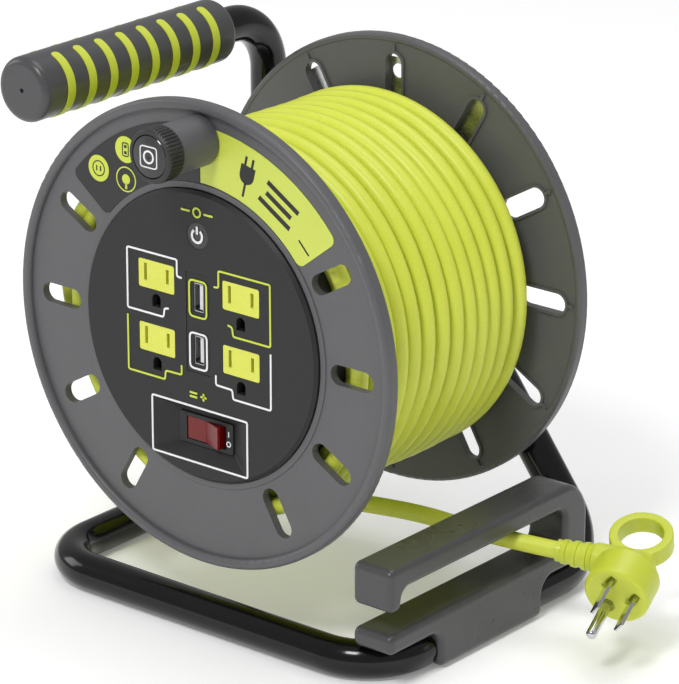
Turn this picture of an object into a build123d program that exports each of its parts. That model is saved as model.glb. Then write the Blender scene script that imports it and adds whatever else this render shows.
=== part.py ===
from build123d import *
import math
import os

# Portable cord reel on a bent-tube stand: millimetres, +Z up, +Y towards the back.
# The origin is the middle of the stand's footprint, on the floor.

# ---- Driving sizes -------------------------------------------------------------------

# Flanges and drum
flange_radius = 106.0
reel_width = 141.0            # front rim plane to rear rim plane
rim_width = 4.8               # front rim, across its section
rim_depth = 7.0
rear_rim_width = 3.6
rear_rim_proud = 0.4          # rear rim above its web on the cord side
web_thickness = 3.0
web_setback = 2.8             # rim plane to the web's outer face
rib_slot_width = 9.2
rib_slot_inner = 71.8
front_slot_outer = 95.0
rear_slot_outer = 98.0
rib_slot_pitch = 30.0         # degrees
lip_width = 1.3
lip_height = 1.0
tick_length = 3.4             # raised tick beyond each rear slot
tick_width = 1.4
core_radius = 69.8
core_wall = 1.8
core_flange_width = 5.8       # inward ring at the drum's front end
core_flange_thickness = 3.0
collar_width = 2.9            # raised ring round the panel
collar_front = 2.2            # collar face below the rim plane
collar_round = 0.4
rear_rib_count = 8            # stiffening ribs round the hub
rear_rib_width = 2.4
rear_rib_inset = 0.6          # rib face below the rim plane

# Cord
cord_diameter = 8.0
turn_pitch = 9.3              # wound turns, middle to middle
gland_inset = 5.2             # gland behind the first turn
gland_angle = 200.0           # round the drum, degrees
gland_wall = 2.2
gland_flange = 1.6
gland_gap = 0.1               # gland to the cord through it
wind_gap = 0.3                # drum flange lip to the first turn
tail_clearance = 0.7          # tail over the wound cord

# Front panel and the parts in it
panel_radius = 66.3
panel_thickness = 3.0
panel_bevel = 1.4
panel_gap = 0.3
outlet_width = 20.6
outlet_height = 13.0
outlet_x = 24.2
outlet_row_z = (22.9, -6.4)
outlet_depth = 14.0
insert_gap = 0.15             # panel opening to what fills it
blade_pitch = 12.7
blade_slot_width = 1.7
neutral_slot_length = 8.0
live_slot_length = 6.6
blade_slot_rise = 0.8         # blade slots above the insert's middle
ground_drop = 11.9            # blade slots' line to the ground hole
ground_width = 4.9
ground_height = 5.8
usb_plate_width = 13.7
usb_plate_height = 45.4
usb_plate_z = 6.2
usb_plate_thickness = 2.4
usb_port_z = (18.2, -6.1)
usb_width = 5.6               # shell outside, short way
usb_height = 13.1             # shell outside, long way
usb_wall = 0.4
usb_depth = 14.0
usb_tongue = 1.9
lamp_radius = 5.8
lamp_z = 46.4
dish_width = 54.0
dish_height = 24.6
dish_depth = 5.3
dish_floor_width = 31.0
dish_floor_height = 14.5
dish_wall = 1.2
dish_z = -45.4

# Rocker switch
rocker_width = 20.4
rocker_height = 10.2
rocker_tilt = 10.0            # degrees each side of level
rocker_valley = 4.2           # pivot to the middle of the front face
rocker_gap = 0.3
rocker_pivot_depth = 9.0      # below the panel's face
rocker_back = 3.0
rocker_pin_radius = 1.0
rocker_pin_length = 0.8
rocker_pin_gap = 0.06
bezel_thickness = 1.4
switch_depth = 18.0
switch_cavity = 14.2          # cavity floor below the panel's face

# Housing behind the panel
housing_radius = 63.4
housing_wall = 2.0
housing_depth = 46.0
post_radius = 3.4
post_circle = 52.0
post_angles = (20.0, 160.0, 215.0, 325.0)
post_split = 13.0             # panel boss meets housing post
panel_screw_radius = 1.5
panel_screw_head = 2.8

# Hub, axle and drum screws
axle_radius = 6.0
axle_gap = 0.08
bush_radius = 8.5
bush_length = 12.0
bush_flange_radius = 10.5
bush_flange_thickness = 1.5
hub_radius = 13.0
hub_front = 75.0              # behind the front rim plane
hub_proud = 4.0               # behind the rear rim plane
thrust_gap = 0.3
washer_thickness = 1.5
washer_radius = 12.0
clip_ring_radius = 9.0
clip_ring_thickness = 1.2
clip_ring_mouth = 5.0
drum_screw_radius = 1.75
drum_screw_head = 3.6
drum_boss_radius = 4.0
drum_boss_length = 30.0
flange_screw_radius = 1.1
screw_gap = 0.15              # screw or rivet to its clearance hole
flange_screw_head = 1.9

# Winding knob
knob_offset = 89.2            # from the reel axis
knob_radius = 11.4
knob_reach = 29.7             # in front of the rim plane
knob_collar_radius = 12.2
knob_collar_length = 9.4
knob_neck_radius = 9.0
knob_cap_radius = 9.6
knob_cap_thickness = 2.0
spindle_radius = 3.0
spindle_gap = 0.06
spindle_head_radius = 5.0
spindle_head_height = 3.0
rivet_radius = 3.6
rivet_height = 1.2
label_thickness = 0.3
label_inner = 69.9
label_outer = 95.4
label_corner = 3.5
label_angles = {"label_black": (90.2, 141.5), "label_lime": (38.0, 90.0), "rear_label": (42.0, 138.0)}

# Stand
tube_radius = 8.6
tube_wall = 1.2
base_drop = 130.4             # reel axis to the base tubes
handle_offset = 97.0          # reel axis to the left upright
bar_offset = 97.5             # reel axis to the right base tube
base_front = 3.0              # front base tube behind the rim plane
tube_plane = 161.6            # rear tubes behind the rim plane
handle_rise = 94.3            # reel axis to the handle
handle_bend = 27.0
base_bend = 28.0
hub_stub = 4.0                # sloping tube's end beyond the tube's own radius
hub_bracket_radius = 19.0
hub_bracket_wall = 2.4
axle_nut_height = 6.0
axle_nut_flats = 17.0
brace_radius = 6.0
brace_wall = 1.2

# Handle grip
grip_radius = 14.9
grip_front = -5.3             # grip end against the rim plane
grip_length = 128.4
grip_end_wall = 4.0
grip_gap = 0.15
grip_end_round = 3.5
band_count = 8
band_pitch = 13.8
band_width = 4.5
band_first = 16.3             # from the grip's front end
band_depth = 0.9
band_proud = 0.4
band_end_round = 2.0
band_open_right = 15.0        # plain strip along the top, degrees each side of upright
band_open_left = 31.0
grip_hole_radius = 1.1        # moulding hole in the grip's end
grip_hole_depth = 2.2

# Cord clip
clip_width = 21.6
clip_length = 142.0
clip_front = -1.0
clip_top = -81.0              # heights are from the reel axis
clip_arm = 10.5
clip_tip_drop = 9.5
clip_tip_length = 9.0
clip_tip_taper = 1.5
clip_slot = 19.8
clip_back = 17.0
clip_corner = 17.0            # top corner at the back
clip_nose_round = 3.5
clip_slot_round = 6.0
clip_foot_round = 8.0         # inside corner above the saddle's back end
clip_edge_round = 3.0
clip_bottom = -120.6
saddle_front = 34.0
saddle_back = 108.0
saddle_lift = 1.2             # saddle above the floor
saddle_gap = 0.1
clip_screw_radius = 2.0
clip_screw_head = 3.6
clip_screw_y = (48.0, 94.0)

# Plug
plug_width = 30.0
plug_height = 30.0
plug_skirt = 16.0
plug_step = 1.0               # skirt to the narrower body above it
plug_neck = 26.5              # face to the finger ring's near edge
plug_neck_inset = 3.8
plug_round = 2.2
cord_entry_depth = 21.0       # face to the cord's line
relief_start = 34.7           # plug axis to the cord end of the relief
relief_seat = 17.5            # plug axis to the relief's seat on the body
relief_small = 5.3
relief_large = 6.6
relief_ribs = 7
relief_groove = 0.6
relief_wall = 0.6             # body round the relief's seat
ring_depth = 37.9             # face to the middle of the ring
ring_shift = -1.6
ring_radius = 14.3
ring_bore = 10.0
ring_thickness = 8.6
blade_length = 17.8
blade_width = 6.35
blade_thickness = 1.5
pin_radius = 2.38
pin_length = 21.0
pin_core_radius = 1.9         # the pin's held end
pin_shoulder = 0.6            # held end stands out of the face
prong_hold = 10.0             # prong length held in the body
prong_recess = 1.6
prong_recess_gap = 1.0        # recess round each prong
prong_shift_share = 0.38      # prongs set towards the pin's side of the face
prong_roll = -36.0            # degrees about the plug's axis
blade_chamfer = 0.5

# ---- Places worked out from those sizes ----------------------------------------------

axis_height = base_drop + tube_radius
left_reach = handle_offset + grip_radius + band_proud
right_reach = bar_offset + clip_width / 2
back_reach = tube_plane + tube_radius + hub_bracket_wall + axle_nut_height
front_reach = knob_reach + knob_cap_thickness / 4
reel_x = (left_reach - right_reach) / 2
front_y = (front_reach - back_reach) / 2
origin = Vector(reel_x, front_y, axis_height)

web_back = web_setback + web_thickness
rear_web_front = reel_width - web_back
rear_web_back = reel_width - web_setback
core_inner = core_radius - core_wall
flange_screw_circle = core_inner - flange_screw_head - 0.2
drum_screw_circle = core_inner - drum_boss_radius + 1.0
collar_inner = panel_radius + panel_gap
ledge_inner = housing_radius + panel_gap
panel_back = panel_thickness
wind_front = web_back + lip_height + wind_gap
wind_back = rear_web_front - lip_height - wind_gap
layer_rise = math.sqrt(cord_diameter ** 2 - (turn_pitch / 2) ** 2)
wind_radius = core_radius + cord_diameter + layer_rise
hub_back = reel_width + hub_proud
bracket_front = hub_back + thrust_gap + washer_thickness
bracket_back = tube_plane + tube_radius + hub_bracket_wall
band_inner = grip_radius - band_depth
slot_top = clip_top - clip_arm
slot_bottom = slot_top - clip_slot
saddle_bottom = -axis_height + saddle_lift


def spot(x, y, z):
    """A point given from the reel axis and the front rim plane."""
    return origin + Vector(x, y, z)


def facing(depth, x=0.0, z=0.0):
    """Sketch plane square to the reel axis, facing the front; x stays X and y is up."""
    return Plane(origin=spot(x, depth, z), x_dir=(1, 0, 0), z_dir=(0, -1, 0))


def radial(x=0.0, z=0.0):
    """Sketch plane through a line along Y: x is the radius and y is the depth."""
    return Plane(origin=spot(x, 0, z), x_dir=(1, 0, 0), z_dir=(0, 0, 1))


def along_y(x=0.0, z=0.0):
    return Axis(spot(x, 0, z), (0, 1, 0))


def save(piece, name):
    piece.part.label = name
    export_step(piece.part, "parts/" + name + ".step")


def turned(profile, x=0.0, z=0.0):
    """Add a solid of revolution about a line along Y, from (radius, depth) corners."""
    with BuildSketch(radial(x, z)) as outline:
        with BuildLine():
            Polyline(*profile, close=True)
        make_face()
    revolve(outline.sketch, axis=along_y(x, z))


def ring(inner, outer, front, back, x=0.0, z=0.0):
    """Add a plain ring or, with inner 0, a disc."""
    turned([(inner, front), (outer, front), (outer, back), (inner, back)], x, z)


def polar(radius, degrees):
    turn = math.radians(degrees)
    return radius * math.cos(turn), radius * math.sin(turn)


os.makedirs("parts", exist_ok=True)

# ---- Flanges -------------------------------------------------------------------------

front_slots = [a for a in range(12) if a not in (2, 3, 4, 9)]
rear_slots = list(range(12))


def rolled_rim(front, back, width):
    """Rounded bar in section, between two depths, at the flange's edge."""
    with BuildSketch(radial()) as bar:
        with Locations((flange_radius - width / 2, (front + back) / 2)):
            RectangleRounded(width, back - front, width * 0.42)
    revolve(bar.sketch, axis=along_y())


def cut_slots(numbers, outer, face, inward, tick):
    """Raised lip and outer tick on the cord side, then the slot through both."""
    slot_middle = (rib_slot_inner + outer) / 2
    slot_length = outer - rib_slot_inner
    for number in numbers:
        turn = number * rib_slot_pitch
        x, z = polar(slot_middle, turn)
        with BuildSketch(facing(face)) as lip:
            with Locations((x, z)):
                SlotOverall(slot_length + 2 * lip_width, rib_slot_width + 2 * lip_width, rotation=turn)
            if tick:
                with Locations(polar(outer + lip_width + tick_length / 2 - 0.5, turn)):
                    Rectangle(tick_length, tick_width, rotation=turn)
        extrude(lip.sketch, amount=inward * lip_height)
    for number in numbers:
        turn = number * rib_slot_pitch
        x, z = polar(slot_middle, turn)
        with BuildSketch(facing(face, x, z)) as slot:
            SlotOverall(slot_length, rib_slot_width, rotation=turn)
        extrude(slot.sketch, amount=web_thickness + lip_height, both=True, mode=Mode.SUBTRACT)


with BuildPart() as front_flange:
    rolled_rim(0, rim_depth, rim_width)
    ring(collar_inner, flange_radius - rim_width / 2, web_setback, web_back)
    ring(collar_inner, collar_inner + collar_width, collar_front, web_back)
    ring(ledge_inner, collar_inner + collar_width, panel_back, web_back)
    cut_slots(front_slots, front_slot_outer, web_back, -1, False)
    with BuildSketch(facing(web_back, 0, knob_offset)):
        Circle(spindle_radius + screw_gap)
    extrude(amount=web_thickness, mode=Mode.SUBTRACT)
    with BuildSketch(facing(web_back)):
        with PolarLocations(flange_screw_circle, 4, start_angle=45):
            Circle(flange_screw_radius + screw_gap)
    extrude(amount=web_back - panel_back - 0.8, mode=Mode.SUBTRACT)
    collar_edges = front_flange.edges().filter_by(GeomType.CIRCLE).filter_by(
        lambda e: abs(e.center().Y - (front_y + collar_front)) < 0.01)
    fillet(collar_edges, collar_round)
save(front_flange, "front_flange")

with BuildPart() as rear_flange:
    rolled_rim(rear_web_front - rear_rim_proud, reel_width, rear_rim_width)
    ring(hub_radius, flange_radius - rear_rim_width / 2, rear_web_front, rear_web_back)
    ring(bush_radius, hub_radius, hub_front, hub_back)
    cut_slots(rear_slots, rear_slot_outer, rear_web_front, 1, True)
    with BuildSketch(facing(rear_web_back)):
        with PolarLocations((hub_radius + core_inner) / 2 - 2.5, rear_rib_count, start_angle=22.5):
            Rectangle(core_inner - hub_radius - 3, rear_rib_width)
    extrude(amount=-(web_setback - rear_rib_inset))
    with BuildSketch(facing(rear_web_back)):
        with PolarLocations(drum_screw_circle, 4, start_angle=45):
            Circle(drum_screw_radius + screw_gap)
    extrude(amount=web_thickness, mode=Mode.SUBTRACT)
    with BuildSketch(radial()):
        with BuildLine():
            Polyline((0, hub_front), (bush_flange_radius + 0.2, hub_front),
                     (bush_flange_radius + 0.2, hub_front + bush_flange_thickness),
                     (bush_radius, hub_front + bush_flange_thickness),
                     (bush_radius, hub_back - bush_flange_thickness),
                     (bush_flange_radius + 0.2, hub_back - bush_flange_thickness),
                     (bush_flange_radius + 0.2, hub_back), (0, hub_back), close=True)
        make_face()
    revolve(axis=along_y(), mode=Mode.SUBTRACT)
save(rear_flange, "rear_flange")

with BuildPart() as hub_bushes:
    for flange_at, inward in ((hub_front, 1), (hub_back, -1)):
        turned([(axle_radius + axle_gap, flange_at), (bush_flange_radius, flange_at),
                (bush_flange_radius, flange_at + inward * bush_flange_thickness),
                (bush_radius, flange_at + inward * bush_flange_thickness),
                (bush_radius, flange_at + inward * bush_length),
                (axle_radius + axle_gap, flange_at + inward * bush_length)])
save(hub_bushes, "hub_bushes")

# ---- Drum ----------------------------------------------------------------------------

gland_depth = wind_front + cord_diameter / 2 + gland_inset
gland_radius = cord_diameter / 2 + gland_wall
gland_x, gland_z = polar(core_radius, gland_angle)
gland_plane = Plane(origin=spot(gland_x, gland_depth, gland_z), x_dir=(0, 1, 0),
                    z_dir=(gland_x, 0, gland_z))

with BuildPart() as drum_core:
    ring(core_inner, core_radius, web_back, rear_web_front)
    ring(core_radius - core_flange_width, core_radius, web_back, web_back + core_flange_thickness)
    with BuildSketch(facing(rear_web_front)):
        with PolarLocations(drum_screw_circle, 4, start_angle=45):
            Circle(drum_boss_radius)
    extrude(amount=drum_boss_length)
    with BuildSketch(facing(rear_web_front)):
        with PolarLocations(drum_screw_circle, 4, start_angle=45):
            Circle(drum_screw_radius)
    extrude(amount=drum_boss_length - 4, mode=Mode.SUBTRACT)
    with BuildSketch(facing(web_back + core_flange_thickness)):
        with PolarLocations(flange_screw_circle, 4, start_angle=45):
            Circle(flange_screw_radius + screw_gap)
    extrude(amount=core_flange_thickness, mode=Mode.SUBTRACT)
    with BuildSketch(gland_plane):
        Circle(gland_radius)
    extrude(amount=6, both=True, mode=Mode.SUBTRACT)
save(drum_core, "drum_core")

with BuildPart() as cord_gland:
    with BuildSketch(gland_plane.offset(-core_wall - gland_flange)):
        Circle(gland_radius + 1.0)
        Circle(cord_diameter / 2 + gland_gap, mode=Mode.SUBTRACT)
    extrude(amount=gland_flange - 0.4)
    with BuildSketch(gland_plane.offset(-core_wall - gland_flange)):
        Circle(gland_radius - 0.05)
        Circle(cord_diameter / 2 + gland_gap, mode=Mode.SUBTRACT)
    extrude(amount=core_wall + gland_flange - 0.6)
save(cord_gland, "cord_gland")

with BuildPart() as drum_screws:
    with BuildSketch(facing(rear_web_back)):
        with PolarLocations(drum_screw_circle, 4, start_angle=45):
            Circle(drum_screw_radius)
    extrude(amount=web_thickness + drum_boss_length - 6)
    with BuildSketch(facing(rear_web_back)):
        with PolarLocations(drum_screw_circle, 4, start_angle=45):
            Circle(drum_screw_head)
    extrude(amount=-2.2)
    with BuildSketch(facing(rear_web_back + 2.2)):
        with PolarLocations(drum_screw_circle, 4, start_angle=45):
            Rectangle(4.0, 0.9)
            Rectangle(0.9, 4.0)
    extrude(amount=1.2, mode=Mode.SUBTRACT)
save(drum_screws, "drum_screws")

with BuildPart() as flange_screws:
    with BuildSketch(facing(web_back + core_flange_thickness)):
        with PolarLocations(flange_screw_circle, 4, start_angle=45):
            Circle(flange_screw_radius)
    extrude(amount=core_flange_thickness + web_back - panel_back - 1.0)
    with BuildSketch(facing(web_back + core_flange_thickness)):
        with PolarLocations(flange_screw_circle, 4, start_angle=45):
            Circle(flange_screw_head)
    extrude(amount=-1.4)
save(flange_screws, "flange_screws")

with BuildPart() as cord_winding:
    ring(core_radius, wind_radius, wind_front, wind_back)
save(cord_winding, "cord_winding")

# ---- Front panel ---------------------------------------------------------------------

outlet_places = [(side * outlet_x, row) for row in outlet_row_z for side in (-1, 1)]


def ground_hole(growth=0.0):
    """Arch-topped ground opening, drawn about the middle of the hole."""
    width = ground_width + 2 * growth
    height = ground_height + 2 * growth
    with Locations((0, -(height - width) / 4 - width / 4)):
        Rectangle(width, height - width / 2)
    with Locations((0, height / 2 - width / 2)):
        Circle(width / 2)


def dish_loft(wall, mode):
    """Pyramid-sided dish round the switch, from the panel's face to its floor."""
    with BuildSketch(facing(0, 0, dish_z)) as mouth:
        RectangleRounded(dish_width + 2 * wall, dish_height + 2 * wall, 1.6)
    with BuildSketch(facing(dish_depth, 0, dish_z)) as floor:
        RectangleRounded(dish_floor_width + 2 * wall, dish_floor_height + 2 * wall, 0.8)
    loft([mouth.sketch, floor.sketch], mode=mode)


with BuildPart() as front_panel:
    turned([(0, 0), (panel_radius - panel_bevel, 0), (panel_radius, panel_bevel),
            (panel_radius, panel_back), (0, panel_back)])
    dish_loft(dish_wall, Mode.ADD)
    with BuildSketch(facing(dish_depth + dish_wall, 0, dish_z)):
        RectangleRounded(dish_floor_width + 2 * dish_wall, dish_floor_height + 2 * dish_wall, 0.8)
    extrude(amount=dish_wall)
    with BuildSketch(facing(panel_back)):
        for angle in post_angles:
            with Locations(polar(post_circle, angle)):
                Circle(post_radius)
    extrude(amount=-(post_split - panel_back))
    dish_loft(0.0, Mode.SUBTRACT)
    with BuildSketch(facing(dish_depth, 0, dish_z)):
        Rectangle(rocker_width + 4.0, rocker_height + 1.6)
    extrude(amount=-2 * dish_wall, mode=Mode.SUBTRACT)
    with BuildSketch(facing(0)):
        with Locations(*outlet_places):
            RectangleRounded(outlet_width + 2 * insert_gap, outlet_height + 2 * insert_gap, 1.2)
        with Locations((0, usb_plate_z)):
            Rectangle(usb_plate_width + 2 * insert_gap, usb_plate_height + 2 * insert_gap)
        with Locations((0, lamp_z)):
            Circle(lamp_radius + insert_gap)
        for x, z in outlet_places:
            with Locations((x, z + blade_slot_rise - ground_drop)):
                ground_hole()
    extrude(amount=-panel_back, mode=Mode.SUBTRACT)
    with BuildSketch(facing(post_split)):
        for angle in post_angles:
            with Locations(polar(post_circle, angle)):
                Circle(panel_screw_radius)
    extrude(amount=post_split - panel_back, mode=Mode.SUBTRACT)
save(front_panel, "front_panel")

with BuildPart() as outlet_faces:
    with BuildSketch(facing(0.15)):
        with Locations(*outlet_places):
            RectangleRounded(outlet_width, outlet_height, 1.0)
    extrude(amount=-(panel_back - 0.15))
    with BuildSketch(facing(0)):
        for x, z in outlet_places:
            with Locations((x - blade_pitch / 2, z + blade_slot_rise)):
                Rectangle(blade_slot_width, neutral_slot_length)
            with Locations((x + blade_pitch / 2, z + blade_slot_rise)):
                Rectangle(blade_slot_width, live_slot_length)
    extrude(amount=-panel_back, mode=Mode.SUBTRACT)
save(outlet_faces, "outlet_faces")

block_width = outlet_width + 2.4
block_top = outlet_height / 2 + 0.8
block_bottom = -ground_drop - ground_height / 2 + 0.2

with BuildPart() as outlet_blocks:
    with BuildSketch(facing(panel_back)):
        for x, z in outlet_places:
            with Locations((x, z + (block_top + block_bottom) / 2)):
                Rectangle(block_width, block_top - block_bottom)
    extrude(amount=-outlet_depth)
    with BuildSketch(facing(panel_back)):
        for x, z in outlet_places:
            with Locations((x - blade_pitch / 2, z + blade_slot_rise)):
                Rectangle(blade_slot_width + 1.4, neutral_slot_length + 1.0)
            with Locations((x + blade_pitch / 2, z + blade_slot_rise)):
                Rectangle(blade_slot_width + 1.4, live_slot_length + 1.0)
            with Locations((x, z + blade_slot_rise - ground_drop)):
                ground_hole(0.5)
    extrude(amount=-outlet_depth, mode=Mode.SUBTRACT)
save(outlet_blocks, "outlet_blocks")

with BuildPart() as outlet_contacts:
    with BuildSketch(facing(panel_back + 3.0)):
        for x, z in outlet_places:
            for side, length in ((-1, neutral_slot_length), (1, live_slot_length)):
                for leaf in (-1, 1):
                    with Locations((x + side * blade_pitch / 2 + leaf * (blade_slot_width / 2 + 0.4),
                                    z + blade_slot_rise)):
                        Rectangle(0.5, length)
            with Locations((x, z + blade_slot_rise - ground_drop)):
                Circle(ground_width / 2 + 0.35)
                Circle(ground_width / 2 - 0.25, mode=Mode.SUBTRACT)
    extrude(amount=-outlet_depth)
save(outlet_contacts, "outlet_contacts")

with BuildPart() as usb_plate:
    with BuildSketch(facing(0.2, 0, usb_plate_z)):
        Rectangle(usb_plate_width, usb_plate_height)
    extrude(amount=-usb_plate_thickness)
    with BuildSketch(facing(0.2)):
        for z in usb_port_z:
            with Locations((0, z)):
                Rectangle(usb_width + 0.1, usb_height + 0.1)
    extrude(amount=-usb_plate_thickness, mode=Mode.SUBTRACT)
save(usb_plate, "usb_plate")

with BuildPart() as usb_shells:
    with BuildSketch(facing(0.6)):
        for z in usb_port_z:
            with Locations((0, z)):
                RectangleRounded(usb_width, usb_height, 0.5)
                Rectangle(usb_width - 2 * usb_wall, usb_height - 2 * usb_wall, mode=Mode.SUBTRACT)
    extrude(amount=-usb_depth)
save(usb_shells, "usb_shells")

with BuildPart() as usb_tongues:
    with BuildSketch(facing(1.4)):
        for z in usb_port_z:
            with Locations((usb_width / 2 - usb_wall - usb_tongue / 2 - 0.6, z)):
                Rectangle(usb_tongue, usb_height - 2 * usb_wall - 1.2)
    extrude(amount=-(usb_depth - 2.2))
    with BuildSketch(facing(usb_depth - 0.8)):
        for z in usb_port_z:
            with Locations((0, z)):
                Rectangle(usb_width - 2 * usb_wall - 0.1, usb_height - 2 * usb_wall - 0.1)
    extrude(amount=-1.4)
save(usb_tongues, "usb_tongues")

with BuildPart() as usb_board:
    with BuildSketch(facing(0.6 + usb_depth, 0, usb_plate_z)):
        Rectangle(usb_plate_width + 8, usb_plate_height)
    extrude(amount=-1.6)
    with BuildSketch(facing(2.2 + usb_depth, 0, usb_plate_z)):
        for z in (-14, 0, 13):
            with Locations((0, z)):
                Rectangle(12, 8)
    extrude(amount=-7)
save(usb_board, "usb_board")

with BuildPart() as power_lamp:
    ring(0, lamp_radius, 0.2, 1.6, 0, lamp_z)
    ring(0, lamp_radius - 1.6, 1.6, 10.0, 0, lamp_z)
save(power_lamp, "power_lamp")

# ---- Switch --------------------------------------------------------------------------

rocker_crest = rocker_valley + rocker_width / 2 * math.tan(math.radians(rocker_tilt))
rocker_swing = math.hypot(rocker_width / 2, rocker_crest)
rocker_tip = math.degrees(math.atan2(rocker_crest, rocker_width / 2))
rocker_reach = rocker_swing * math.cos(math.radians(rocker_tip - rocker_tilt)) + rocker_gap
rocker_half = rocker_height / 2 + rocker_gap
bezel_front = dish_depth - 0.9
switch_plane = Plane(origin=spot(0, rocker_pivot_depth, dish_z), x_dir=(1, 0, 0), z_dir=(0, 0, 1))

with BuildPart() as switch_bezel:
    with BuildSketch(facing(bezel_front, 0, dish_z)):
        RectangleRounded(dish_floor_width - 0.3, dish_floor_height - 0.3, 0.8)
        Rectangle(2 * rocker_reach, 2 * rocker_half, mode=Mode.SUBTRACT)
    extrude(amount=-(dish_depth - bezel_front))
save(switch_bezel, "switch_bezel")

body_front = dish_depth + dish_wall
with BuildPart() as switch_body:
    with BuildSketch(facing(body_front, 0, dish_z)):
        Rectangle(dish_floor_width - 0.5, dish_floor_height)
    extrude(amount=-switch_depth)
    with BuildSketch(facing(body_front, 0, dish_z)):
        Rectangle(2 * rocker_reach, 2 * rocker_half)
    extrude(amount=-(switch_cavity - body_front), mode=Mode.SUBTRACT)
    with BuildSketch(switch_plane):
        Circle(rocker_pin_radius + rocker_pin_gap)
    extrude(amount=rocker_half + rocker_pin_length + 0.2, both=True, mode=Mode.SUBTRACT)
save(switch_body, "switch_body")

with BuildPart() as switch_tabs:
    with BuildSketch(facing(body_front + switch_depth, 0, dish_z)):
        for x in (-9, 0, 9):
            with Locations((x, 0)):
                Rectangle(0.8, 6.3)
    extrude(amount=-7.5)
save(switch_tabs, "switch_tabs")

with BuildPart() as rocker:
    with BuildSketch(switch_plane.rotated((0, 0, -rocker_tilt))):
        with BuildLine():
            front = -rocker_crest
            Polyline((0, -rocker_valley), (rocker_width / 2, front), (rocker_width / 2 + 0.3, front + 1.2),
                     (rocker_width / 2 - 0.4, -0.5), (rocker_width / 2 - 2.6, rocker_back),
                     (-rocker_width / 2 + 2.6, rocker_back), (-rocker_width / 2 + 0.4, -0.5),
                     (-rocker_width / 2 - 0.3, front + 1.2), (-rocker_width / 2, front), close=True)
        make_face()
    extrude(amount=rocker_height / 2, both=True)
    with BuildSketch(switch_plane):
        Circle(rocker_pin_radius)
    extrude(amount=rocker_half + rocker_pin_length, both=True)
save(rocker, "rocker")

# ---- Housing behind the panel --------------------------------------------------------

with BuildPart() as socket_housing:
    ring(housing_radius - housing_wall, housing_radius, panel_back, housing_depth)
    ring(0, housing_radius, housing_depth - housing_wall, housing_depth)
    with BuildSketch(facing(housing_depth - housing_wall)):
        for angle in post_angles:
            with Locations(polar(post_circle, angle)):
                Circle(post_radius)
    extrude(amount=housing_depth - housing_wall - post_split)
    with BuildSketch(facing(housing_depth)):
        for angle in post_angles:
            with Locations(polar(post_circle, angle)):
                Circle(panel_screw_radius + 0.1)
        with Locations((-25, -20)):
            Circle(cord_diameter / 2 + 0.4)
    extrude(amount=housing_depth, mode=Mode.SUBTRACT)
save(socket_housing, "socket_housing")

with BuildPart() as panel_screws:
    with BuildSketch(facing(housing_depth)):
        for angle in post_angles:
            with Locations(polar(post_circle, angle)):
                Circle(panel_screw_radius)
    extrude(amount=housing_depth - panel_back - 2.0)
    with BuildSketch(facing(housing_depth)):
        for angle in post_angles:
            with Locations(polar(post_circle, angle)):
                Circle(panel_screw_head)
    extrude(amount=-1.8)
save(panel_screws, "panel_screws")

with BuildPart() as terminal_block:
    with BuildSketch(facing(housing_depth - housing_wall, 0, -22)):
        Rectangle(30, 12)
    extrude(amount=10)
    with BuildSketch(facing(housing_depth - housing_wall - 10, 0, -22)):
        with GridLocations(9, 1, 3, 1):
            Circle(2.4)
    extrude(amount=-6, mode=Mode.SUBTRACT)
save(terminal_block, "terminal_block")

# ---- Labels --------------------------------------------------------------------------

for name, (first, last) in label_angles.items():
    front = web_setback - label_thickness if name != "rear_label" else rear_web_back
    with BuildPart() as label:
        with BuildSketch(facing(front)) as patch:
            with BuildLine():
                low = CenterArc((0, 0), label_inner, first, last - first)
                high = CenterArc((0, 0), label_outer, first, last - first)
                Line(low @ 0, high @ 0)
                Line(low @ 1, high @ 1)
            make_face()
            free_ends = patch.vertices().filter_by(lambda v: abs(v.X) > label_inner / 2)
            fillet(free_ends, label_corner)
            with Locations((0, knob_offset)):
                Circle(spindle_radius + 0.3, mode=Mode.SUBTRACT)
        extrude(amount=-label_thickness)
    save(label, name)

# ---- Winding knob --------------------------------------------------------------------

knob_base = web_setback - label_thickness - 0.3
knob_shoulder = -knob_reach + knob_collar_length
knob_seat = -knob_reach + knob_cap_thickness * 0.75
spindle_head = -knob_reach + 4.5
knob_bore = spindle_radius + spindle_gap
counterbore = spindle_head_radius + 1.6

with BuildPart() as knob_spindle:
    turned([(0, spindle_head), (spindle_head_radius - 0.8, spindle_head),
            (spindle_head_radius, spindle_head + 0.8),
            (spindle_head_radius, spindle_head + spindle_head_height),
            (spindle_radius, spindle_head + spindle_head_height), (spindle_radius, web_back),
            (rivet_radius, web_back), (rivet_radius - 0.6, web_back + rivet_height),
            (0, web_back + rivet_height)], 0, knob_offset)
save(knob_spindle, "knob_spindle")

with BuildPart() as knob_body:
    seat = spindle_head + spindle_head_height + 0.3
    turned([(knob_bore, knob_base), (knob_radius - 0.4, knob_base), (knob_radius, knob_base - 0.6),
            (knob_radius - 0.2, knob_shoulder), (knob_neck_radius, knob_shoulder),
            (knob_neck_radius, knob_seat), (counterbore, knob_seat), (counterbore, seat),
            (knob_bore, seat)], 0, knob_offset)
save(knob_body, "knob_body")

with BuildPart() as knob_collar:
    turned([(knob_neck_radius, knob_seat), (knob_cap_radius + 0.1, knob_seat),
            (knob_cap_radius + 0.1, -knob_reach), (knob_collar_radius - 1.0, -knob_reach),
            (knob_collar_radius - 0.2, -knob_reach + 0.9), (knob_collar_radius, -knob_reach + 2.0),
            (knob_collar_radius, knob_shoulder - 0.8), (knob_collar_radius - 0.5, knob_shoulder),
            (knob_neck_radius, knob_shoulder)], 0, knob_offset)
save(knob_collar, "knob_collar")

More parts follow.
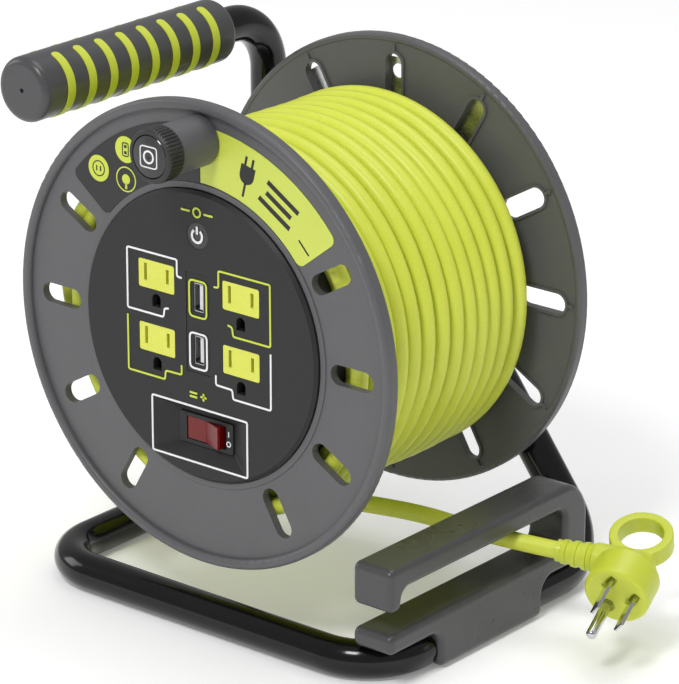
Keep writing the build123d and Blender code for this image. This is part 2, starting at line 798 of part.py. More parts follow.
with BuildPart() as knob_cap:
    dome = knob_cap_thickness / 4
    turned([(0, -knob_reach - dome), (knob_cap_radius * 0.6, -knob_reach - dome * 0.75),
            (knob_cap_radius - 0.5, -knob_reach), (knob_cap_radius, -knob_reach + 0.5),
            (knob_cap_radius, knob_seat), (counterbore - 0.05, knob_seat),
            (counterbore - 0.05, knob_seat + 1.8), (counterbore - 1.4, knob_seat + 1.8),
            (counterbore - 1.4, knob_seat), (0, knob_seat)], 0, knob_offset)
save(knob_cap, "knob_cap")

# ---- Axle ----------------------------------------------------------------------------

clip_at = hub_front - thrust_gap - clip_ring_thickness
with BuildPart() as axle:
    turned([(0, clip_at - 3.0), (axle_radius - 1.0, clip_at - 3.0), (axle_radius, clip_at - 2.0),
            (axle_radius, clip_at), (axle_radius - 1.0, clip_at),
            (axle_radius - 1.0, clip_at + clip_ring_thickness), (axle_radius, clip_at + clip_ring_thickness),
            (axle_radius, bracket_back), (axle_radius - 1.0, bracket_back),
            (axle_radius - 1.0, bracket_back + axle_nut_height), (0, bracket_back + axle_nut_height)])
save(axle, "axle")

with BuildPart() as axle_clip:
    ring(axle_radius - 1.0, clip_ring_radius, clip_at, clip_at + clip_ring_thickness)
    with BuildSketch(facing(clip_at, 0, -clip_ring_radius)):
        Rectangle(clip_ring_mouth, 2 * clip_ring_radius)
    extrude(amount=-clip_ring_thickness, mode=Mode.SUBTRACT)
save(axle_clip, "axle_clip")

with BuildPart() as thrust_washer:
    ring(axle_radius + axle_gap, washer_radius, hub_back + thrust_gap, bracket_front)
save(thrust_washer, "thrust_washer")

with BuildPart() as axle_nut:
    with BuildSketch(facing(bracket_back)):
        RegularPolygon(axle_nut_flats / 2, 6, major_radius=False)
        Circle(axle_radius - 1.0, mode=Mode.SUBTRACT)
    extrude(amount=-axle_nut_height)
save(axle_nut, "axle_nut")

# ---- Stand ---------------------------------------------------------------------------

handle_front = grip_front + grip_end_wall
hub_run = Vector(bar_offset, 0, -base_drop)
frame_path_points = [
    spot(-handle_offset, handle_front, handle_rise),
    spot(-handle_offset, tube_plane, handle_rise),
    spot(-handle_offset, tube_plane, -base_drop),
    spot(-handle_offset, base_front, -base_drop),
    spot(bar_offset, base_front, -base_drop),
    spot(bar_offset, tube_plane, -base_drop),
    spot(0, tube_plane, 0) - hub_run.normalized() * (tube_radius + hub_stub),
]
frame_bends = [handle_bend] + [base_bend] * 4

with BuildLine() as frame_path:
    FilletPolyline(*frame_path_points, radius=frame_bends)

with BuildPart() as frame_tube:
    with BuildSketch(Plane(origin=frame_path_points[0], z_dir=(0, 1, 0))):
        Circle(tube_radius)
        Circle(tube_radius - tube_wall, mode=Mode.SUBTRACT)
    sweep(path=frame_path.line)
    with BuildSketch(facing(bracket_front)):
        Circle(axle_radius + axle_gap)
    extrude(amount=-(bracket_back - bracket_front), mode=Mode.SUBTRACT)
save(frame_tube, "frame_tube")

hub_line = Plane(origin=spot(0, tube_plane, 0), z_dir=hub_run)

with BuildPart() as hub_bracket:
    ring(axle_radius + axle_gap, hub_bracket_radius, bracket_front, bracket_back)
    with BuildSketch(hub_line):
        Circle(tube_radius)
    extrude(amount=2 * hub_bracket_radius, mode=Mode.SUBTRACT)
    with BuildSketch(hub_line):
        Circle(tube_radius)
    extrude(amount=-(tube_radius + hub_stub), mode=Mode.SUBTRACT)
save(hub_bracket, "hub_bracket")

brace_end = math.sqrt(hub_bracket_radius ** 2 - brace_radius ** 2) + 0.4
with BuildPart() as cross_brace:
    with BuildSketch(Plane(origin=spot(-handle_offset, tube_plane, 0), z_dir=(1, 0, 0))):
        Circle(brace_radius)
        Circle(brace_radius - brace_wall, mode=Mode.SUBTRACT)
    extrude(amount=handle_offset)
    with BuildSketch(facing(bracket_front)):
        Circle(hub_bracket_radius)
    extrude(amount=-(bracket_back - bracket_front), mode=Mode.SUBTRACT)
    with BuildSketch(Plane(origin=spot(-handle_offset, tube_plane, -20), z_dir=(0, 0, 1))):
        Circle(tube_radius)
    extrude(amount=40, mode=Mode.SUBTRACT)
save(cross_brace, "cross_brace")

# ---- Handle grip ---------------------------------------------------------------------

grip_back = grip_front + grip_length
grip_bore = tube_radius + grip_gap
band_places = [grip_front + band_first + band_pitch * n for n in range(band_count)]


def strip_corner(degrees):
    """Point well outside the grip, at an angle from upright towards the right."""
    lean = math.radians(degrees)
    return 2 * grip_radius * math.sin(lean), 2 * grip_radius * math.cos(lean)


with BuildPart() as grip_bands:
    for start in band_places:
        ring(band_inner, grip_radius + band_proud, start - band_width / 2, start + band_width / 2,
             -handle_offset, handle_rise)
    with BuildSketch(facing(grip_front, -handle_offset, handle_rise)):
        with BuildLine():
            Polyline((0, 0), strip_corner(band_open_right), strip_corner(-band_open_left), close=True)
        make_face()
    extrude(amount=-grip_length, mode=Mode.SUBTRACT)
    end_edges = grip_bands.edges().filter_by(GeomType.LINE).filter_by(
        lambda e: abs(e.tangent_at(0.5).Y) < 0.5)
    fillet(end_edges, band_end_round)
save(grip_bands, "grip_bands")

with BuildPart() as grip_sleeve:
    with BuildSketch(radial(-handle_offset, handle_rise)):
        with BuildLine():
            Polyline((0, grip_front), (grip_radius - grip_end_round, grip_front))
            RadiusArc((grip_radius - grip_end_round, grip_front),
                      (grip_radius, grip_front + grip_end_round), -grip_end_round)
            Polyline((grip_radius, grip_front + grip_end_round), (grip_radius, grip_back - grip_end_round))
            RadiusArc((grip_radius, grip_back - grip_end_round),
                      (grip_radius - grip_end_round, grip_back), -grip_end_round)
            Polyline((grip_radius - grip_end_round, grip_back), (grip_bore, grip_back),
                     (grip_bore, handle_front), (0, handle_front), (0, grip_front))
        make_face()
    revolve(axis=along_y(-handle_offset, handle_rise))
    with BuildSketch(facing(grip_front, -handle_offset, handle_rise)):
        Circle(grip_hole_radius)
    extrude(amount=-grip_hole_depth, mode=Mode.SUBTRACT)
    add(grip_bands.part, mode=Mode.SUBTRACT)
save(grip_sleeve, "grip_sleeve")

# ---- Cord clip -----------------------------------------------------------------------

clip_end = clip_front + clip_length
clip_side = Plane(origin=spot(bar_offset - clip_width / 2, 0, 0), x_dir=(0, 1, 0), z_dir=(1, 0, 0))
slot_end = clip_end - clip_back
tip_back = clip_front + clip_tip_length

nose_bottom = slot_top - clip_tip_drop
clip_corners = [
    (clip_front, clip_top, clip_nose_round), (clip_end, clip_top, clip_corner),
    (clip_end, clip_bottom, clip_nose_round), (saddle_back, clip_bottom, clip_foot_round),
    (saddle_back, saddle_bottom, clip_nose_round), (saddle_front, saddle_bottom, clip_nose_round),
    (saddle_front, clip_bottom, clip_slot_round), (clip_front, clip_bottom, clip_nose_round),
    (clip_front, slot_bottom, clip_nose_round), (slot_end, slot_bottom, clip_slot_round),
    (slot_end, slot_top, clip_slot_round), (tip_back, slot_top, clip_slot_round - 0.6),
    (tip_back - clip_tip_taper, nose_bottom, clip_nose_round), (clip_front, nose_bottom, clip_nose_round)]

with BuildPart() as cord_clip:
    with BuildSketch(clip_side):
        with BuildLine():
            FilletPolyline(*[(y, z) for y, z, r in clip_corners],
                           radius=[r for y, z, r in clip_corners], close=True)
        make_face()
    extrude(amount=clip_width)
    long_edges = cord_clip.edges().group_by(Axis.X)[0] + cord_clip.edges().group_by(Axis.X)[-1]
    fillet(long_edges, clip_edge_round)
    with BuildSketch(Plane(origin=spot(bar_offset, 0, -base_drop), z_dir=(0, 1, 0))):
        Circle(tube_radius + saddle_gap)
    extrude(amount=clip_end + 10, mode=Mode.SUBTRACT)
    add(frame_tube.part, mode=Mode.SUBTRACT)
    for y in clip_screw_y:
        with BuildSketch(Plane(origin=spot(bar_offset, y, -base_drop), z_dir=(-1, 0, 0))):
            Circle(clip_screw_radius)
        extrude(amount=clip_width, mode=Mode.SUBTRACT)
save(cord_clip, "cord_clip")

with BuildPart() as clip_screws:
    head_at = clip_width / 2
    for y in clip_screw_y:
        with BuildSketch(Plane(origin=spot(bar_offset - head_at, y, -base_drop), z_dir=(-1, 0, 0))):
            Circle(clip_screw_head)
        extrude(amount=1.8)
        with BuildSketch(Plane(origin=spot(bar_offset - head_at, y, -base_drop), z_dir=(-1, 0, 0))):
            Circle(clip_screw_radius)
        extrude(amount=-(head_at - tube_radius - saddle_gap))
        with BuildSketch(Plane(origin=spot(bar_offset - head_at - 1.8, y, -base_drop), z_dir=(1, 0, 0))):
            Rectangle(4.0, 0.9)
            Rectangle(0.9, 4.0)
        extrude(amount=1.0, mode=Mode.SUBTRACT)
save(clip_screws, "clip_screws")

# ---- Cord tail and plug --------------------------------------------------------------

cord_into_plug = Vector(0.96, 0.27, -0.045).normalized()
prong_guess = Vector(0.25, -0.90, -0.33)
prong_out = (prong_guess - cord_into_plug * prong_guess.dot(cord_into_plug)).normalized()
relief_point = Vector(124.2, 96.5, -98.0)

over_wind = wind_radius + tail_clearance + cord_diameter / 2
tail_corner = over_wind / math.cos(math.radians(15))


def round_drum(radius, degrees, depth):
    x, z = polar(radius, degrees)
    return Vector(x, depth, z)


tail_route = [
    round_drum(over_wind, -150, 22),
    round_drum(tail_corner, -135, 28),
    round_drum(tail_corner, -105, 44),
    Vector(34.0, 68.0, -89.5),
    Vector(66.0, 80.0, -91.5),
    relief_point - cord_into_plug * 37.0,
    relief_point,
]


def bend_radii(points):
    """Arc at each corner of a route: 0.45 of the shorter run over the tangent of half the turn."""
    radii = []
    for before, corner, after in zip(points, points[1:], points[2:]):
        run_in, run_out = corner - before, after - corner
        half_turn = math.radians(run_in.get_angle(run_out)) / 2
        radii.append(0.45 * min(run_in.length, run_out.length) / math.tan(half_turn))
    return radii


tail_points = [origin + point for point in tail_route]
tail_radii = bend_radii(tail_points)
with BuildLine() as tail_path:
    FilletPolyline(*tail_points, radius=tail_radii)

with BuildPart() as cord_tail:
    with BuildSketch(Plane(origin=tail_points[0], z_dir=tail_points[1] - tail_points[0])):
        Circle(cord_diameter / 2)
    sweep(path=tail_path.line)
save(cord_tail, "cord_tail")

tail_length = sum(edge.length for edge in tail_path.edges())
print("cord tail bend radii, mm:", [round(r, 1) for r in tail_radii])
print("cord tail length, mm:", round(tail_length, 1))
print("tube volume over section times length:",
      round(cord_tail.part.volume / (math.pi * (cord_diameter / 2) ** 2 * tail_length), 4))
print("frame tube volume over section times length:",
      round(frame_tube.part.volume / (math.pi * (tube_radius ** 2 - (tube_radius - tube_wall) ** 2)
                                      * sum(edge.length for edge in frame_path.edges())), 4))

plug_axis_point = origin + relief_point + cord_into_plug * relief_start
face_point = plug_axis_point + prong_out * cord_entry_depth
plug_face = Plane(origin=face_point, x_dir=cord_into_plug, z_dir=prong_out)
relief_line = Plane(origin=plug_axis_point, x_dir=prong_out, z_dir=-cord_into_plug)
ring_plane = Plane(origin=face_point - prong_out * ring_depth + cord_into_plug * ring_shift,
                   x_dir=cord_into_plug, z_dir=plug_face.y_dir)
prong_across = [math.radians(prong_roll + turn) for turn in (0, 180)]
pin_across = math.radians(prong_roll - 90)
blade_spots = [(blade_pitch / 2 * math.cos(a), blade_pitch / 2 * math.sin(a)) for a in prong_across]
pin_spot = (ground_drop * math.cos(pin_across), ground_drop * math.sin(pin_across))
prong_shift = (-pin_spot[0] * prong_shift_share, -pin_spot[1] * prong_shift_share)


def prong_places(spots):
    return [(x + prong_shift[0], y + prong_shift[1]) for x, y in spots]


with BuildPart() as plug_body:
    with BuildSketch(plug_face):
        Ellipse(plug_width / 2, plug_height / 2)
    extrude(amount=-plug_skirt)
    mouth = plug_body.faces().sort_by(lambda f: (f.center() - face_point).length)[0]
    fillet(mouth.edges(), plug_round)
    with BuildSketch(plug_face.offset(-plug_skirt)):
        Ellipse(plug_width / 2 - plug_step, plug_height / 2 - plug_step)
    with BuildSketch(plug_face.offset(-plug_neck)):
        with Locations((ring_shift, 0)):
            RectangleRounded(2 * (ring_radius - plug_neck_inset), ring_thickness, ring_thickness * 0.35)
    loft()
    with BuildSketch(ring_plane.offset(-ring_thickness / 2)):
        Circle(ring_radius)
    extrude(amount=ring_thickness)
    with BuildSketch(relief_line):
        Circle(relief_large + relief_wall)
    extrude(amount=relief_seat)
    with BuildSketch(ring_plane.offset(-ring_thickness)):
        Circle(ring_bore)
    extrude(amount=2 * ring_thickness, mode=Mode.SUBTRACT)
    with BuildSketch(plug_face):
        with Locations(*prong_places(blade_spots)):
            Rectangle(blade_thickness + 2 * prong_recess_gap, blade_width + 2 * prong_recess_gap,
                      rotation=prong_roll)
        with Locations(*prong_places([pin_spot])):
            Circle(pin_radius + prong_recess_gap)
    extrude(amount=-prong_recess, mode=Mode.SUBTRACT)
    with BuildSketch(plug_face):
        with Locations(*prong_places(blade_spots)):
            Rectangle(blade_thickness, blade_width, rotation=prong_roll)
        with Locations(*prong_places([pin_spot])):
            Circle(pin_core_radius)
    extrude(amount=-prong_hold, mode=Mode.SUBTRACT)
save(plug_body, "plug_body")

with BuildPart() as plug_strain_relief:
    with BuildSketch(Plane(origin=plug_axis_point, x_dir=prong_out, z_dir=ring_plane.z_dir)):
        with BuildLine():
            rib = (relief_start - relief_seat) / relief_ribs
            steps = [(relief_small - relief_groove / 2, relief_start)]
            for n in range(1, relief_ribs):
                body = relief_small + (relief_large - relief_small) * n / relief_ribs
                edge = relief_start - rib * n
                steps += [(body - relief_groove * (n % 2), edge + 0.15),
                          (body - relief_groove * ((n + 1) % 2), edge - 0.15)]
            steps += [(relief_large, relief_seat)]
            outline = [(0, relief_start)] + steps + [(0, relief_seat)]
            side = ring_plane.z_dir.cross(prong_out)
            Polyline(*[(r, d * (1 if side.dot(-cord_into_plug) > 0 else -1)) for r, d in outline], close=True)
        make_face()
    revolve(axis=Axis(plug_axis_point, -cord_into_plug))
save(plug_strain_relief, "plug_strain_relief")

with BuildPart() as plug_blades:
    with BuildSketch(plug_face.offset(-prong_hold)):
        with Locations(*prong_places(blade_spots)):
            Rectangle(blade_thickness, blade_width, rotation=prong_roll)
    extrude(amount=prong_hold + blade_length)
    for blade in plug_blades.solids():
        tip = blade.faces().sort_by(lambda f: (f.center() - face_point).dot(prong_out))[-1]
        chamfer(tip.edges(), blade_chamfer)
save(plug_blades, "plug_blades")

with BuildPart() as plug_pin:
    with BuildSketch(plug_face.offset(-prong_hold)):
        with Locations(*prong_places([pin_spot])):
            Circle(pin_radius)
    extrude(amount=prong_hold + pin_length)
    with BuildSketch(plug_face.offset(-prong_hold)):
        with Locations(*prong_places([pin_spot])):
            Circle(pin_radius)
            Circle(pin_core_radius, mode=Mode.SUBTRACT)
    extrude(amount=prong_hold + pin_shoulder, mode=Mode.SUBTRACT)
    tip = plug_pin.faces().sort_by(lambda f: (f.center() - face_point).dot(prong_out))[-1]
    fillet(tip.edges(), pin_radius * 0.8)
save(plug_pin, "plug_pin")
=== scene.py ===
import math

import bmesh
import bpy
import numpy as np
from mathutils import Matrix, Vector


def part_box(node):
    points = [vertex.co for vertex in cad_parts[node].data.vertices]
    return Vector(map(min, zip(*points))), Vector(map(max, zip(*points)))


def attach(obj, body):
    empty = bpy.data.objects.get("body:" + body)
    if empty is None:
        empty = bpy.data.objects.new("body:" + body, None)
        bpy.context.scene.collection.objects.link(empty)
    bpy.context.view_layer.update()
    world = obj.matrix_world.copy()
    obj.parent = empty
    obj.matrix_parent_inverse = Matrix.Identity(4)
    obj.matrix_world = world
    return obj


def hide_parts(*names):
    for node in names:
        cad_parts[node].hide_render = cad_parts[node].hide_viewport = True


# Cord reel on a bent-tube stand. Everything is in metres, +Z up, +Y towards the back.
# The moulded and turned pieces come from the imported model; what is added here is the
# wound cord, the printing, the soft mouldings and every finish.
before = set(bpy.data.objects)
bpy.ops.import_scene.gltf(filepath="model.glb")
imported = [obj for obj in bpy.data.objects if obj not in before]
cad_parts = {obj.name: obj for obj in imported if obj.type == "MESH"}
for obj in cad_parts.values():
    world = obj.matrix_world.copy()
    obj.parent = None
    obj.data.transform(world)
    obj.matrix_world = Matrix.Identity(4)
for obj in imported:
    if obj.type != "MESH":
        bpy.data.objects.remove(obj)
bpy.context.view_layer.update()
MM = 0.001

# ---- Where the reel stands ------------------------------------------------------------
# The reel's axis runs along Y through the middle of the front flange, and depths are
# taken from that flange's rim plane.
flange_low, flange_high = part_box("front_flange")
rim_plane = flange_low[1]
centre_x = (flange_low[0] + flange_high[0]) / 2
centre_z = (flange_low[2] + flange_high[2]) / 2


def spot(x, y, z):
    """Scene point from millimetres off the reel's axis and the front rim plane."""
    return Vector((centre_x + x * MM, rim_plane + y * MM, centre_z + z * MM))


# ---- Camera ---------------------------------------------------------------------------
# A long lens from the front right, a little above the reel.
aim = spot(79.0, 0, 16.4)
look_from = Vector((0.5962, -0.7256, 0.3435))
lens_to_aim = 1.682
camera = bpy.data.objects.new("camera", bpy.data.cameras.new("camera"))
camera.data.lens = 210.8
camera.data.sensor_width = 36.0
camera.data.clip_end = 20.0
camera.location = aim + look_from * lens_to_aim
camera.rotation_euler = (-look_from).to_track_quat("-Z", "Y").to_euler()
bpy.context.collection.objects.link(camera)
bpy.context.scene.camera = camera

# ---- Studio ---------------------------------------------------------------------------
# A white sweep under soft lamps, as for a catalogue. The backdrop the lens sees is brighter
# than what lights the reel, so black gloss stays black.


def linear(hex_colour):
    """Linear RGBA from an sRGB hex value."""
    parts = [int(hex_colour[i:i + 2], 16) / 255 for i in (1, 3, 5)]
    return [c / 12.92 if c <= 0.04045 else ((c + 0.055) / 1.055) ** 2.4 for c in parts] + [1.0]


def node(tree, kind, inputs=(), **settings):
    """Add a node; inputs pairs a socket's name or number with a value or an output socket."""
    added = tree.nodes.new(kind)
    for name, value in settings.items():
        setattr(added, name, value)
    for socket, value in dict(inputs).items():
        if isinstance(value, bpy.types.NodeSocket):
            tree.links.new(value, added.inputs[socket])
        else:
            added.inputs[socket].default_value = value
    return added


room_light = 0.40
floor_glow = 0.16       # keeps the floor as pale as the backdrop
world = bpy.data.worlds.new("studio")
bpy.context.scene.world = world
world.use_nodes = True
seen = node(world.node_tree, "ShaderNodeLightPath").outputs["Is Camera Ray"]
strength = node(world.node_tree, "ShaderNodeMapRange",
                {"Value": seen, "To Min": room_light, "To Max": 1.0})
backdrop = world.node_tree.nodes["Background"]
backdrop.inputs["Color"].default_value = linear("#ffffff")
world.node_tree.links.new(strength.outputs["Result"], backdrop.inputs["Strength"])
bpy.context.scene.view_settings.view_transform = "Standard"
bpy.context.scene.view_settings.look = "None"

for name, place, size, power in (
        ("key_lamp", (0.35, -1.5, 1.9), 0.55, 22.0),
        ("left_lamp", (-1.7, -0.7, 0.8), 0.8, 6.0),
        ("top_lamp", (0.1, 0.5, 2.2), 1.4, 17.0)):
    lamp = bpy.data.lights.new(name, "AREA")
    lamp.size = size
    lamp.energy = power
    holder = bpy.data.objects.new(name, lamp)
    holder.location = place
    holder.rotation_euler = (spot(0, 70, 0) - Vector(place)).to_track_quat("-Z", "Y").to_euler()
    bpy.context.collection.objects.link(holder)

floor_mesh = bpy.data.meshes.new("floor")
floor_mesh.from_pydata([(-6, -6, 0), (6, -6, 0), (6, 6, 0), (-6, 6, 0)], [], [(0, 1, 2, 3)])
floor = bpy.data.objects.new("floor", floor_mesh)
bpy.context.collection.objects.link(floor)
sweep = bpy.data.materials.new("white sweep")
sweep.use_nodes = True
for socket, value in (("Base Color", linear("#ffffff")), ("Roughness", 0.95),
                      ("Specular IOR Level", 0.1), ("Emission Color", linear("#ffffff")),
                      ("Emission Strength", floor_glow)):
    sweep.node_tree.nodes["Principled BSDF"].inputs[socket].default_value = value
floor_mesh.materials.append(sweep)

# ---- Cord -----------------------------------------------------------------------------
# Round lime PVC jacket over three conductors. It is hand-wound in two loose layers, each
# turn lying level but for a short step to the next under the drum, and the free end
# crosses below to the clip.
cord_d = 8.0
core_r = 69.8
turn_pitch = 9.3
first_depth = 16.3
lower_turns = 13
upper_turns = 13
start_turn = 200.0 / 360.0
step_from, step_to = 55.0 / 360.0, 100.0 / 360.0
points_per_turn = 24
wander = 1.0            # how far the turns stray sideways
wander_span = 60.0      # along the drum, for one wave
wander_from = (9.0, 27.0)       # depths over which the straying grows, behind the front flange
wander_to = (112.0, 127.0)      # and dies away before the rear one
step_lift = 0.9         # an upper turn rides up where it steps over the one below
last_arc = 10.0 / 360.0         # the winding ends this far past its last whole turn
tail_depth = 22.0
lead_off = 15.0         # half the turn that each of the free end's corner points takes
straight_lead = 37.0    # between the free end's last two points


def moulded(name, colour, second, roughness, grain_mm, relief_mm, coat=0.0, gloss=0.5,
            drift_mm=22.0):
    """Moulded skin: fine grain in relief, slow drift between two near colours and in gloss."""
    made = bpy.data.materials.new(name)
    made.use_nodes = True
    tree = made.node_tree
    shader = tree.nodes["Principled BSDF"]
    place = node(tree, "ShaderNodeTexCoord").outputs["Object"]
    grain = node(tree, "ShaderNodeTexNoise",
                 {"Vector": place, "Scale": 1 / (grain_mm * MM), "Detail": 3.0})
    drift = node(tree, "ShaderNodeTexNoise",
                 {"Vector": place, "Scale": 1 / (drift_mm * MM), "Detail": 4.0})
    speck = node(tree, "ShaderNodeMapRange", {"Value": grain.outputs["Fac"], "From Min": 0.35,
                                              "From Max": 0.65, "To Max": 0.5})
    blend = node(tree, "ShaderNodeMath", {0: speck.outputs["Result"], 1: drift.outputs["Fac"]})
    # sockets 6 and 7 are the two colours of a colour mix, and output 2 is its result
    tone = node(tree, "ShaderNodeMix", {0: blend.outputs[0], 6: linear(colour), 7: linear(second)},
                data_type="RGBA")
    tree.links.new(tone.outputs[2], shader.inputs["Base Color"])
    shine = node(tree, "ShaderNodeMapRange", {"Value": drift.outputs["Fac"], "From Min": 0.3,
                                              "From Max": 0.7, "To Min": roughness - 0.04,
                                              "To Max": roughness + 0.04})
    tree.links.new(shine.outputs["Result"], shader.inputs["Roughness"])
    skin = node(tree, "ShaderNodeBump", {"Height": grain.outputs["Fac"], "Distance": relief_mm * MM,
                                         "Strength": 0.8})
    tree.links.new(skin.outputs["Normal"], shader.inputs["Normal"])
    shader.inputs["Specular IOR Level"].default_value = gloss
    shader.inputs["Coat Weight"].default_value = coat
    shader.inputs["Coat Roughness"].default_value = 0.1
    return made


def paint(material, *names):
    """Give CAD nodes this finish all over."""
    for name in names:
        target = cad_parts[name]
        target.data.materials.clear()
        target.data.materials.append(material)


def smooth_step(value, low, high):
    """0 below low, 1 above high, and a smooth cubic between."""
    share = np.clip((value - low) / (high - low), 0.0, 1.0)
    return share * share * (3 - 2 * share)


def nurbs_cord(name, points, thickness):
    """A round cord on one open NURBS spline with these control points."""
    line = bpy.data.curves.new(name, "CURVE")
    line.dimensions = "3D"
    line.resolution_u = 4
    line.bevel_depth = thickness / 2
    line.bevel_resolution = 4
    line.use_fill_caps = True
    spline = line.splines.new("NURBS")
    spline.points.add(len(points) - 1)
    spline.points.foreach_set("co", np.c_[points, np.ones(len(points))].ravel())
    spline.order_u = 3
    spline.use_endpoint_u = True
    made = bpy.data.objects.new(name, line)
    bpy.context.collection.objects.link(made)
    return made


layer_rise = math.sqrt(cord_d ** 2 - (turn_pitch / 2) ** 2)
inner_r = core_r + cord_d / 2
over_gap = 0.7
over_wind = inner_r + layer_rise + cord_d + over_gap     # the last turn lies over the upper layer


def wound_points():
    """Turns round the drum: level rings joined by short steps, up one layer and back over it.

    A turn's depth follows its number along the drum; a slow wave in depth and angle makes
    the gaps uneven, and the upper turns sink where the gap below them is wide."""
    end = lower_turns + upper_turns + 1 + last_arc
    turn = np.linspace(0, end, int(end * points_per_turn) + 1)
    whole, part = np.floor(turn), turn - np.floor(turn)
    angle = 2 * math.pi * (turn + start_turn)
    last = lower_turns + upper_turns - 1
    count = np.clip(whole - 1 + smooth_step(part, step_from, step_to), 0, last)
    top = first_depth + turn_pitch * (lower_turns - 1)
    low = top - turn_pitch * (upper_turns - 0.5)
    depth = np.interp(count, [0, lower_turns - 1, lower_turns, last],
                      [first_depth, top, top - turn_pitch / 2, low])
    level = np.clip(count - (lower_turns - 1), 0, 1)
    free = smooth_step(depth, *wander_from) * (1 - smooth_step(depth, *wander_to))
    phase = 2 * math.pi * depth / wander_span + angle
    depth = depth + wander * free * np.sin(phase)
    gap = turn_pitch * (1 + wander * free * 2 * math.pi / wander_span * np.cos(phase))
    radius = inner_r + level * np.sqrt(cord_d ** 2 - (gap / 2) ** 2)
    stepping = (smooth_step(part, step_from - 0.05, step_from)
                * (1 - smooth_step(part, step_to, step_to + 0.05)))
    radius = radius + step_lift * stepping * level
    radius = radius + (over_wind - radius) * smooth_step(turn, end - 0.25, end - 0.11)
    depth = depth + (tail_depth - depth) * smooth_step(turn, end - 0.14, end + 0.03)
    # the spline runs inside its points, so they stand out by the same share
    radius = radius / math.cos(math.pi / points_per_turn)
    return np.c_[centre_x + radius * np.cos(angle) * MM, rim_plane + depth * MM,
                 centre_z + radius * np.sin(angle) * MM]


# PVC jacket: soft satin lime, slightly uneven in gloss where hands have run along it.
lime_pvc = moulded("lime PVC jacket", "#d0da45", "#dae353", 0.38, 0.7, 0.02, gloss=0.4)
wound = nurbs_cord("cord_wound", wound_points(), cord_d * MM)
wound.data.materials.append(lime_pvc)
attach(wound, "reel")
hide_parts("cord_winding")

corner_r = over_wind / math.cos(math.radians(lead_off))
into_plug = Vector((0.96, 0.27, -0.045)).normalized()
relief_point = Vector((124.2, 96.5, -98.0))


def round_drum(radius, degrees, depth):
    """Point at an angle round the reel's axis, in millimetres."""
    return radius * math.cos(math.radians(degrees)), depth, radius * math.sin(math.radians(degrees))


tail_route = [
    round_drum(over_wind, -150, tail_depth), round_drum(corner_r, -135, 28),
    round_drum(corner_r, -105, 44), (34.0, 68.0, -89.5), (66.0, 80.0, -91.5),
    tuple(relief_point - into_plug * straight_lead), tuple(relief_point)]
tail = nurbs_cord("cord_free_end", np.array([spot(*p) for p in tail_route]), cord_d * MM)
tail.data.resolution_u = 12
tail.data.materials.append(lime_pvc)
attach(tail, "stand")
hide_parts("cord_tail")

# ---- Flanges, drum and knob body ------------------------------------------------------
# Injection-moulded grey ABS: the spark-eroded tool leaves a fine dull grain, and flow and
# handling make the gloss a little uneven. The drum is screwed to the rear flange.
grey_abs = moulded("grey moulded ABS", "#545456", "#5f5f61", 0.40, 0.45, 0.05, gloss=0.4)
paint(grey_abs, "front_flange", "rear_flange", "drum_core", "knob_body")

# ---- Socket panel ---------------------------------------------------------------------
# Matt black ABS disc carrying the sockets, USB ports and switch, with fine lime and white
# screen-printed lines round each group.
black_abs = moulded("black moulded ABS", "#222223", "#2a2a2b", 0.48, 0.5, 0.06, gloss=0.3)
paint(black_abs, "front_panel", "usb_plate", "outlet_blocks", "socket_housing", "switch_body",
      "switch_bezel")
print_width = 0.85
print_relief = 0.1
panel_face = 0.0        # the panel lies level with the rim plane
panel_relief = 0.28     # the lamp and the USB plate lie 0.2 mm further back than the panel


def stroke(points, width=print_width, closed=False, reach=1.0):
    """Flat band along a line whose corners are eased by curves starting reach mm away.

    The band's edge points lie on each corner's bisector, half a width out."""
    p = np.asarray(points, float)
    back, on = np.roll(p, 1, 0) - p, np.roll(p, -1, 0) - p
    if not closed:
        back[0], on[-1] = -on[0], -back[-1]
    ease = [d * np.minimum(reach / np.linalg.norm(d, axis=1, keepdims=True), 0.45)
            for d in (back, on)]
    share = np.linspace(0, 1, 5)[None, :, None]
    eased = p[:, None] + ease[0][:, None] * (1 - share) ** 2 + ease[1][:, None] * share ** 2
    line = eased.reshape(-1, 2) if closed else np.r_[p[:1], eased[1:-1].reshape(-1, 2), p[-1:]]
    before, after = line - np.roll(line, 1, 0), np.roll(line, -1, 0) - line
    if not closed:
        before[0], after[-1] = after[0], before[-1]
    before /= np.linalg.norm(before, axis=1, keepdims=True)
    after /= np.linalg.norm(after, axis=1, keepdims=True)
    out = np.c_[-before[:, 1] - after[:, 1], before[:, 0] + after[:, 0]]
    out *= width / np.sum(out * out, axis=1, keepdims=True)
    verts = np.r_[line + out, line - out]
    i = np.arange(len(line) if closed else len(line) - 1)
    j = (i + 1) % len(line)
    return verts, np.c_[i, i + len(line), j + len(line), j].tolist()


def arc(x, z, radius, first=0.0, last=360.0, count=40):
    """Points round a circle, anticlockwise, in degrees."""
    turn = np.radians(np.linspace(first, last, count, endpoint=abs(last - first) < 360))
    return np.c_[x + radius * np.cos(turn), z + radius * np.sin(turn)]


def ring_stroke(x, z, radius, width=print_width):
    """A closed round band about this middle."""
    return stroke(arc(x, z, radius), width, closed=True, reach=0.3)


def patch(outline):
    """Filled shape with this anticlockwise outline."""
    verts = np.asarray(outline, float)
    return verts, [list(range(len(verts)))]


def bar(x, z, wide, high, turn=0.0):
    """Filled upright rectangle about its middle, turned anticlockwise in degrees."""
    c, s = math.cos(math.radians(turn)), math.sin(math.radians(turn))
    corners = np.array([(-1, -1), (1, -1), (1, 1), (-1, 1)]) * (wide / 2, high / 2)
    return patch(corners @ np.array([(c, s), (-s, c)]) + (x, z))


